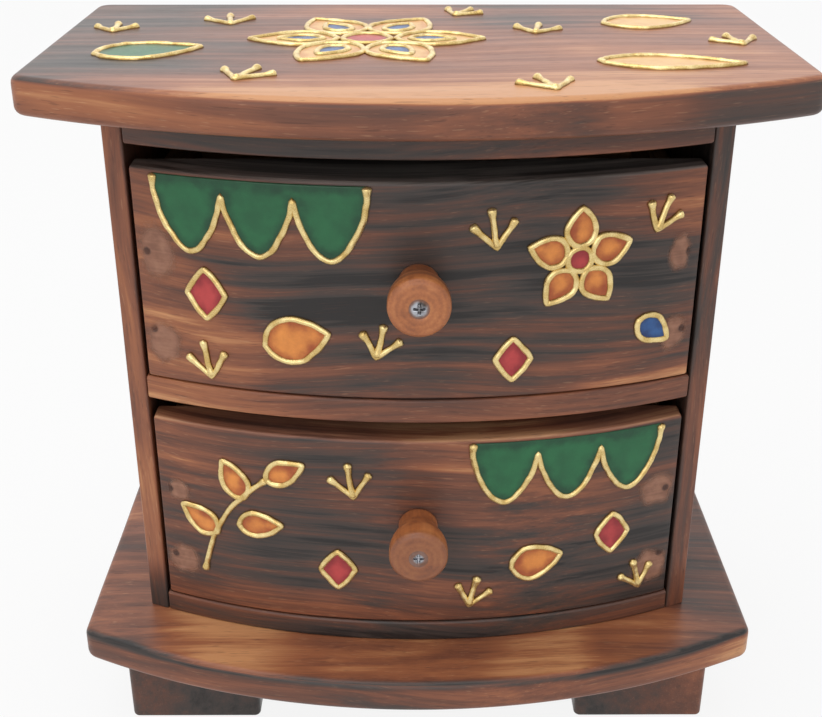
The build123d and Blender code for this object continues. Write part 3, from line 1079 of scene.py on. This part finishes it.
for drawer in drawers:
    body = f"{drawer}_drawer"
    height = knob_heights[drawer]
    ways = [2 * pi * spoke / head_spokes + screw_turn for spoke in range(head_spokes)]
    points = []
    for ring in range(1, head_rings + 1):
        radius = screw_radius * ring / head_rings
        crown = screw_crown * (1 - (ring / head_rings) ** 2)
        for way in ways:
            u, v = radius * cos(way), radius * sin(way)
            along = knob_face + screw_sink - crown + cross_deep * cross_recess(u, v)
            points.append((u, along, height + v))
    middle = len(points)
    points.append((0.0, knob_face + screw_sink + cross_deep, height))
    faces = ring_faces(0, head_rings - 1, head_spokes) + fan_faces(middle, 0, head_spokes)
    outer = middle - head_spokes
    for radius, behind in shank_profile:
        first = len(points)
        points += [(radius * cos(way), knob_face + behind, height + radius * sin(way)) for way in ways]
        for spoke in range(head_spokes):
            following = (spoke + 1) % head_spokes
            faces.append([outer + spoke, first + spoke, first + following, outer + following])
        outer = first
    faces.append([outer + spoke for spoke in range(head_spokes)])
    rim = shaded_rim(height, unshaded_head[drawer])
    screw_steel = drawn_steel(f"{drawer}_screw_steel", screw_tint, 0.28, rim)
    screw = built_piece(f"{body}_knob_screw_cross", points, faces, screw_steel)
    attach(screw, body)
    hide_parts(f"{drawer}_knob_screw")

# Gold piping: thick metallic paint squeezed from a cone in round beads, swollen where the hand
# stopped. It draws leaves, blossoms, diamonds, sprouts and scallops on the fronts and the top.

bead_sizes = {"Bead width": 0.0018, "Bead height": 0.0009, "Wobble": 0.0005}
pipe_step = 0.0004
gold_deep = swatch(204, 172, 104)
gold_bright = swatch(238, 215, 154)
gold_flank_shade = swatch(138, 104, 52)
surface_inputs = {
    "Bowed": "Bool",
    "Bow radius": "Float",
    "Bow centre": "Float",
    "Flat height": "Float",
    "Finish": "Material",
}


def laid_on(point, sizes):
    """A point of the flat drawing (across, up, proud) laid on the bow or on the flat top."""
    across, up, proud = point.axes()
    turn = across / sizes["Bow radius"]
    reach = sizes["Bow radius"] + proud
    deep = sizes["Bow centre"] - reach * turn.math("COSINE", turn)
    bowed = point.vector(reach * turn.math("SINE", turn), deep, up)
    flat = point.vector(across, up, proud + sizes["Flat height"])
    choice = {"Switch": sizes["Bowed"], "False": flat, "True": bowed}
    return point.node("GeometryNodeSwitch", {"input_type": "VECTOR"}, choice)


def stored(shape, title, value):
    """The shape with a value kept on each of its points, for its finish."""
    kept = {"Geometry": shape, "Name": title, "Value": value}
    return shape.node("GeometryNodeStoreNamedAttribute", {"domain": "POINT"}, kept)


pipe_tree, pipe = grow_tree("gold_piping", {**dict.fromkeys(bead_sizes, "Float"), **surface_inputs})
drawn = pipe["Geometry"].node("GeometryNodeMeshToCurve", inputs={"Mesh": pipe["Geometry"]})
fine = drawn.node("GeometryNodeResampleCurve", {"mode": "LENGTH"}, {"Curve": drawn, "Length": pipe_step})
spot = fine.node("GeometryNodeInputPosition")
shake = spot.noise(160.0, 1.0, output="Color").vector_math("SUBTRACT", (0.5, 0.5, 0.5))
reach_of_hand = fine.vector(pipe["Wobble"] * 2.0, pipe["Wobble"] * 2.0)
shaken = shake.vector_math("MULTIPLY", reach_of_hand)
hand_drawn = fine.node("GeometryNodeSetPosition", inputs={"Geometry": fine, "Offset": shaken})
along = fine.node("GeometryNodeSplineParameter", output="Length")
whole = fine.node("GeometryNodeSplineLength", output="Length")
to_end = along.least(whole - along)
closed = fine.node("GeometryNodeInputSplineCyclic")
half = pipe["Bead width"] * 0.5
nearing = 1.0 - (to_end / half).least(1.0)
rounded = (1.0 - nearing * nearing).most(0.0025) ** 0.5
swell = 1.0 + 0.45 * to_end.fade(half * 0.5, half * 4.0)
ending = fine.node(
    "GeometryNodeSwitch", {"input_type": "FLOAT"}, {"Switch": closed, "False": rounded * swell, "True": 1.0}
)
thickness = half * ending * (0.78 + spot.noise(330.0, 2.0) * 0.44)
nozzle = fine.node("GeometryNodeCurvePrimitiveCircle", inputs={"Resolution": 12, "Radius": 1.0})
bead = fine.node(
    "GeometryNodeCurveToMesh",
    inputs={"Curve": hand_drawn, "Profile Curve": nozzle, "Scale": thickness, "Fill Caps": True},
)
round_spot = bead.node("GeometryNodeInputPosition")
crest = round_spot.axes()[2] / half
ridged = stored(bead, "crest", crest)
sunk = round_spot.vector_math("MULTIPLY", bead.vector(1.0, 1.0, pipe["Bead height"] / half))
on_wood = bead.node("GeometryNodeSetPosition", inputs={"Geometry": ridged, "Position": laid_on(sunk, pipe)})
close_tree(on_wood, pipe["Finish"])


def gold_paint(name):
    """Metallic gold paint with a grainy skin, darkened brown down the flanks of each bead as painted shade.
    """
    finish, paint, place = new_finish(name)
    cloud = place.noise(300.0, 2.0)
    flake = place.noise(3800.0, 2.0)
    bright = (cloud * 0.7 + flake * 0.3).ease(0.34, 0.66).tinted(gold_deep, gold_bright)
    # Painted shade: the colour darkens from each bead's crest down its flanks.
    ridge = (place.attribute("crest") + (cloud - 0.5) * 0.6).ease(0.05, 0.65)
    place.feed(
        paint,
        {
            "Base Color": ridge.tinted(gold_flank_shade, bright),
            "Roughness": 0.18 + flake * 0.22,
            "Metallic": 0.6 + cloud * 0.3,
            "Normal": (cloud + flake * 0.1).bump(0.5, 0.00012),
        },
    )
    return finish


gold = gold_paint("gold_paint")


def tilted(u, v, across, up, tilt):
    """A spot of a motif, turned by its tilt and moved to its place."""
    lean = radians(tilt)
    return across + u * cos(lean) - v * sin(lean), up + u * sin(lean) + v * cos(lean)


def oval(across, up, width, height):
    """A closed oval."""
    steps = 40
    ways = [2 * pi * step / steps for step in range(steps)]
    return [(across + width / 2 * cos(way), up + height / 2 * sin(way)) for way in ways]


def leaf(across, up, length, width, tilt):
    """A closed leaf that starts at its stalk and ends in a point."""
    half_steps = 20
    spots = []
    for step in range(2 * half_steps):
        share = step / half_steps if step < half_steps else 2 - step / half_steps
        side = 1 if step < half_steps else -1
        belly = side * width / 2 * sin(pi * share**0.75) ** 0.85
        spots.append(tilted(length * share, belly, across, up, tilt))
    return spots


def diamond(across, up, width, height):
    """A closed lozenge with sides that belly out a little."""
    steps = 8
    tips = [(width / 2, 0), (0, height / 2), (-width / 2, 0), (0, -height / 2)]
    spots = []
    for (u, v), (s, t) in zip(tips, tips[1:] + tips[:1]):
        for step in range(steps):
            share = step / steps
            belly = 1 + 0.12 * sin(pi * share)
            spots.append((across + (u + (s - u) * share) * belly, up + (v + (t - v) * share) * belly))
    return spots


def sprout(across, up, size, tilt):
    """Three short open strokes that fan out from one foot."""
    steps = 6
    foot = tilted(-size / 2, 0, across, up, tilt + 90)

    def stroke(way, length):
        return [tilted(length * step / steps, 0, *foot, tilt + 90 + way) for step in range(steps + 1)]

    return [stroke(40, size * 0.85)[::-1] + stroke(-40, size * 0.85)[1:], stroke(0, size)]


def scallops(start, end, top, drop, count):
    """The open hem of a row of scallops."""
    steps = 18
    hem = []
    for bay in range(count):
        for step in range(steps + (bay == count - 1)):
            share = step / steps
            u = start + (end - start) * (bay + share) / count
            hem.append((u, top - drop * (0.22 + 0.78 * sin(pi * share) ** 0.7)))
    return [(start, top)] + hem + [(end, top)]


def sprig(start, end, bend, count):
    """An open stalk that bows to one side."""
    wide, tall = end[0] - start[0], end[1] - start[1]
    run = sqrt(wide**2 + tall**2)
    spots = []
    for step in range(count):
        share = step / (count - 1)
        sag = bend * sin(pi * share) / run
        spots.append((start[0] + wide * share - sag * tall, start[1] + tall * share + sag * wide))
    return spots


def blossom(across, up, petals, length, width, hollow, tilt):
    """Closed petals set round a hollow middle."""
    ways = [tilt + 360 * petal / petals for petal in range(petals)]
    return [leaf(*tilted(hollow, 0, across, up, way), length, width, way) for way in ways]


# Enamel: thin colour flooded inside the gold lines while they hold it in, a little uneven as it
# dries. Green hangs as scallops under the drawer tops; the rest fills leaves, petals and diamonds.

enamel_depths = {"green": 0.00022, "orange": 0.00022, "red": 0.00026, "blue": 0.00034, "cream": 0.00018}
enamel_sizes = {"Cell": 0.0005, "Root": 0.0004}

pool_tree, pool = grow_tree(
    "enamel_pools", {"Depth": "Float", **dict.fromkeys(enamel_sizes, "Float"), **surface_inputs}
)
fence = pool["Geometry"].node("GeometryNodeMeshToCurve", inputs={"Mesh": pool["Geometry"]})
flooded = fence.node("GeometryNodeFillCurve", inputs={"Curve": fence})
least_spot = fence.node("GeometryNodeBoundBox", inputs={"Geometry": flooded}, output="Min")
wide, tall = least_spot.beside("Max").vector_math("SUBTRACT", least_spot).axes()[:2]
columns = wide.math("CEIL", wide / pool["Cell"])
rows = wide.math("CEIL", tall / pool["Cell"])
grid = fence.node(
    "GeometryNodeMeshGrid",
    inputs={
        "Size X": columns * pool["Cell"],
        "Size Y": rows * pool["Cell"],
        "Vertices X": columns + 1.0,
        "Vertices Y": rows + 1.0,
    },
)
half_extent = fence.vector(columns * pool["Cell"] * 0.5, tall - rows * pool["Cell"] * 0.5)
grid_middle = least_spot.vector_math("ADD", half_extent)
placed = fence.node("GeometryNodeTransform", inputs={"Geometry": grid, "Translation": grid_middle})
cell_spot = fence.node("GeometryNodeInputPosition")
inside = fence.node(
    "GeometryNodeRaycast",
    inputs={
        "Target Geometry": flooded,
        "Source Position": cell_spot.vector_math("ADD", (0.0, 0.0, 0.01)),
        "Ray Direction": (0.0, 0.0, -1.0),
        "Ray Length": 0.02,
    },
)
outside = fence.node("FunctionNodeBooleanMath", {"operation": "NOT"}, {0: inside})
kept = fence.node(
    "GeometryNodeDeleteGeometry", {"domain": "FACE"}, {"Geometry": placed, "Selection": outside}
)
rooted = fence.vector(z=0.0 - pool["Root"])
lowered = fence.node("GeometryNodeTransform", inputs={"Geometry": kept, "Translation": rooted})
raised = fence.node(
    "GeometryNodeExtrudeMesh",
    inputs={"Mesh": lowered, "Offset": fence.vector(z=pool["Root"] + pool["Depth"]), "Individual": False},
)
uneven = fence.vector(z=(cell_spot.noise(240.0, 2.0) - 0.5) * pool["Depth"])
skin = fence.node(
    "GeometryNodeSetPosition",
    inputs={"Geometry": raised, "Selection": raised.beside("Top"), "Offset": uneven},
)
slab = joined(skin, fence.node("GeometryNodeFlipFaces", inputs={"Mesh": lowered}))
sealed = fence.node("GeometryNodeMergeByDistance", inputs={"Geometry": slab, "Distance": 0.00001})
shore = fence.node(
    "GeometryNodeProximity",
    {"target_element": "EDGES"},
    {"Geometry": pool["Geometry"], "Sample Position": cell_spot},
    "Distance",
)
banked = stored(sealed, "from_line", shore)
dried = fence.node(
    "GeometryNodeSetPosition", inputs={"Geometry": banked, "Position": laid_on(cell_spot, pool)}
)
close_tree(dried, pool["Finish"])


def enamel(name, deep, bright):
    """Flooded enamel: thinner and brighter in patches, glossy, with brush drag."""
    finish, paint, place = new_finish(name)
    cloud = place.noise(190.0, 3.0)
    grain = place.noise(2400.0, 2.0)
    # Deeper colour next to the gold lines, brighter away from them.
    away_from_line = (place.attribute("from_line") + (cloud - 0.5) * 0.004).ease(0.0008, 0.0036)
    spread = (cloud * 0.8 + grain * 0.2).ease(0.3, 0.7) * 0.4 + away_from_line * 0.6
    place.feed(
        paint,
        {
            "Base Color": spread.tinted(deep, bright),
            "Roughness": 0.3 + grain * 0.2,
            "Normal": (cloud + grain * 0.2).bump(0.25, 0.0001),
            "Specular IOR Level": 0.35,
            "Coat Weight": 0.15,
            "Coat Roughness": 0.2,
        },
    )
    return finish


enamels = {
    "green": enamel("green_enamel", swatch(18, 66, 42), swatch(36, 104, 64)),
    "orange": enamel("orange_enamel", swatch(160, 76, 40), swatch(232, 148, 72)),
    "red": enamel("red_enamel", swatch(140, 38, 44), swatch(194, 70, 70)),
    "blue": enamel("blue_enamel", swatch(24, 44, 92), swatch(54, 100, 160)),
    "cream": enamel("cream_enamel", swatch(206, 142, 82), swatch(232, 188, 122)),
}


def drawing(closed_shapes, open_lines):
    """A host mesh that holds a flat drawing, given in millimetres, as loops and open lines."""
    points, edges = [], []
    for shapes, looped in ((closed_shapes, True), (open_lines, False)):
        for shape in shapes:
            first = len(points)
            points += [(u / 1000, v / 1000, 0.0) for u, v in shape]
            edges += [(first + i, first + i + 1) for i in range(len(shape) - 1)]
            if looped:
                edges.append((len(points) - 1, first))
    mesh = bpy.data.meshes.new("drawing")
    mesh.from_pydata(points, edges, [])
    return mesh


bow_surface = {"Bowed": True, "Bow radius": case_bow, "Bow centre": bow_centre, "Flat height": 0.0}
top_surface = {"Bowed": False, "Bow radius": 1.0, "Bow centre": 0.0, "Flat height": top_height}


def painted(body, title, surface, filled, lines, hems):
    """Lays one drawing on its surface: a gold line round each filled shape, and the enamels."""
    loops = [shape for shapes in filled.values() for shape in shapes]
    flat = drawing(loops, lines + [hem for colour, hem in hems])
    piping = grown(f"{title}_gold_piping", flat, pipe_tree, {**surface, **bead_sizes, "Finish": gold})
    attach(piping, body)
    for colour in enamels:
        shapes = filled.get(colour, []) + [hem for tint, hem in hems if tint == colour]
        if shapes:
            sizes = {**surface, **enamel_sizes, "Depth": enamel_depths[colour], "Finish": enamels[colour]}
            flood = grown(f"{title}_{colour}_enamel", drawing(shapes, []), pool_tree, sizes)
            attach(flood, body)


painted(
    "upper_drawer",
    "upper_drawer",
    bow_surface,
    {
        "orange": blossom(42, 154, 5, 10.5, 8, 3.6, 18) + [leaf(-41, 130, 18, 12.5, 14)],
        "red": [oval(42, 154, 6.5, 6.5), diamond(-57, 143, 11, 14), diamond(25, 127, 9.5, 12)],
        "blue": [leaf(60, 135, 11, 7.5, -35)],
    },
    sprout(-58, 124, 11, 10) + sprout(-10, 133, 10, -12) + sprout(19, 164, 11, 8) + sprout(65, 165, 10, -24),
    [("green", scallops(-70, -13, 175.0, 20, 3))],
)
painted(
    "lower_drawer",
    "lower_drawer",
    bow_surface,
    {
        "orange": [
            leaf(-59, 68, 13, 7.5, 145),
            leaf(-52, 72, 13, 7.5, 5),
            leaf(-50, 81, 13, 7.5, 118),
            leaf(-43, 88, 12, 7, 28),
            leaf(27, 60, 15, 10.5, 14),
        ],
        "red": [diamond(-23, 60, 10, 12.5), diamond(57, 68, 10, 13)],
    },
    [sprig((-64, 54), (-43, 88), 4, 16)]
    + sprout(-19, 90, 11, 8)
    + sprout(16, 53, 10, -14)
    + sprout(66, 52, 10, 15),
    [("green", scallops(15, 70, 101.7, 19, 3))],
)
painted(
    "case",
    "top",
    top_surface,
    {
        "cream": blossom(-14, 6, 6, 24, 17, 8, 0) + [leaf(46, -22, 36, 15, -6), leaf(54, 28, 26, 18, 10)],
        "blue": blossom(-14, 6, 6, 12, 7.5, 12, 0),
        "red": [oval(-14, 6, 13, 13)],
        "green": [leaf(-84, -14, 28, 19, 20)],
    },
    sprout(-55, 34, 13, 8)
    + sprout(-42, -36, 13, -20)
    + sprout(30, -46, 13, 15)
    + sprout(86, 4, 12, 12)
    + sprout(34, 20, 12, -10)
    + sprout(-86, 22, 11, 0)
    + sprout(14, 46, 11, -30),
    [],
)

# Stage: a plain pale floor in a white surround, lit by a soft box overhead, a low one behind for
# the sheen on the lacquer and a wide one in front. The camera stands a little above the chest,
# square to its front.

floor_half = 6.0
floor_drop = -0.0001
floor_white = 0.88
surround_light = 0.6
camera_down = 25.5
camera_turn = -0.12


def seen(wire):
    """1 for rays that show a thing to the camera, straight, mirrored or through it."""
    ray = wire.node("ShaderNodeLightPath", output="Is Camera Ray")
    return ray.most(ray.beside("Is Glossy Ray")).most(ray.beside("Is Transmission Ray"))


floor_paint, floor_shader, floor_place = new_finish("pale_floor")
floor_place.feed(floor_shader, {"Base Color": (0.72, 0.72, 0.72, 1.0), "Roughness": 0.9})
white = floor_place.node("ShaderNodeEmission", inputs={"Strength": 1.0})
matt = Wire(floor_paint.node_tree, floor_shader.outputs[0])
blend = white.node("ShaderNodeMixShader", inputs={0: seen(white) * floor_white, 1: matt, 2: white})
blend.feed(floor_paint.node_tree.nodes["Material Output"], {0: blend})
quarters = ((-1, -1), (1, -1), (1, 1), (-1, 1))
floor_corners = [(x * floor_half, y * floor_half, floor_drop) for x, y in quarters]
floor = built_piece("floor", floor_corners, [[0, 1, 2, 3]], floor_paint, flat=(0,))

world = bpy.data.worlds.new("surround")
world.use_nodes = True
bpy.context.scene.world = world
world_wire = Wire(world.node_tree)
surround = surround_light + seen(world_wire) * (1 - surround_light)
world_wire.feed(world.node_tree.nodes["Background"], {"Color": (1.0, 1.0, 1.0, 1.0), "Strength": surround})


def soft_box(name, place, aim, width, height, power):
    """A large soft lamp that faces a point of the chest."""
    lamp = bpy.data.lights.new(name, "AREA")
    lamp.shape = "RECTANGLE"
    lamp.size = width
    lamp.size_y = height
    lamp.energy = power
    stand = set_out(name, lamp)
    stand.location = place
    stand.rotation_euler = (Vector(aim) - Vector(place)).to_track_quat("-Z", "Y").to_euler()
    stand.visible_camera = False


soft_box("overhead", (-0.25, -0.1, 1.3), (0.0, 0.0, 0.15), 1.1, 1.1, 8.0)
soft_box("behind", (0.0, 1.5, 0.95), (0.0, 0.0, 0.2), 2.0, 0.8, 3.0)
soft_box("in_front", (-0.3, -1.6, 0.62), (0.0, 0.0, 0.1), 1.6, 1.0, 7.0)

camera_data = bpy.data.cameras.new("camera")
camera_data.lens = 54.85
camera_data.sensor_width = 36.0
camera_data.clip_start = 0.01
camera = set_out("camera", camera_data)
camera.location = (-0.00262, -0.34098, 0.27031)
camera.rotation_euler = (radians(90 - camera_down), 0.0, radians(camera_turn))
bpy.context.scene.camera = camera
bpy.context.scene.view_settings.view_transform = "Standard"
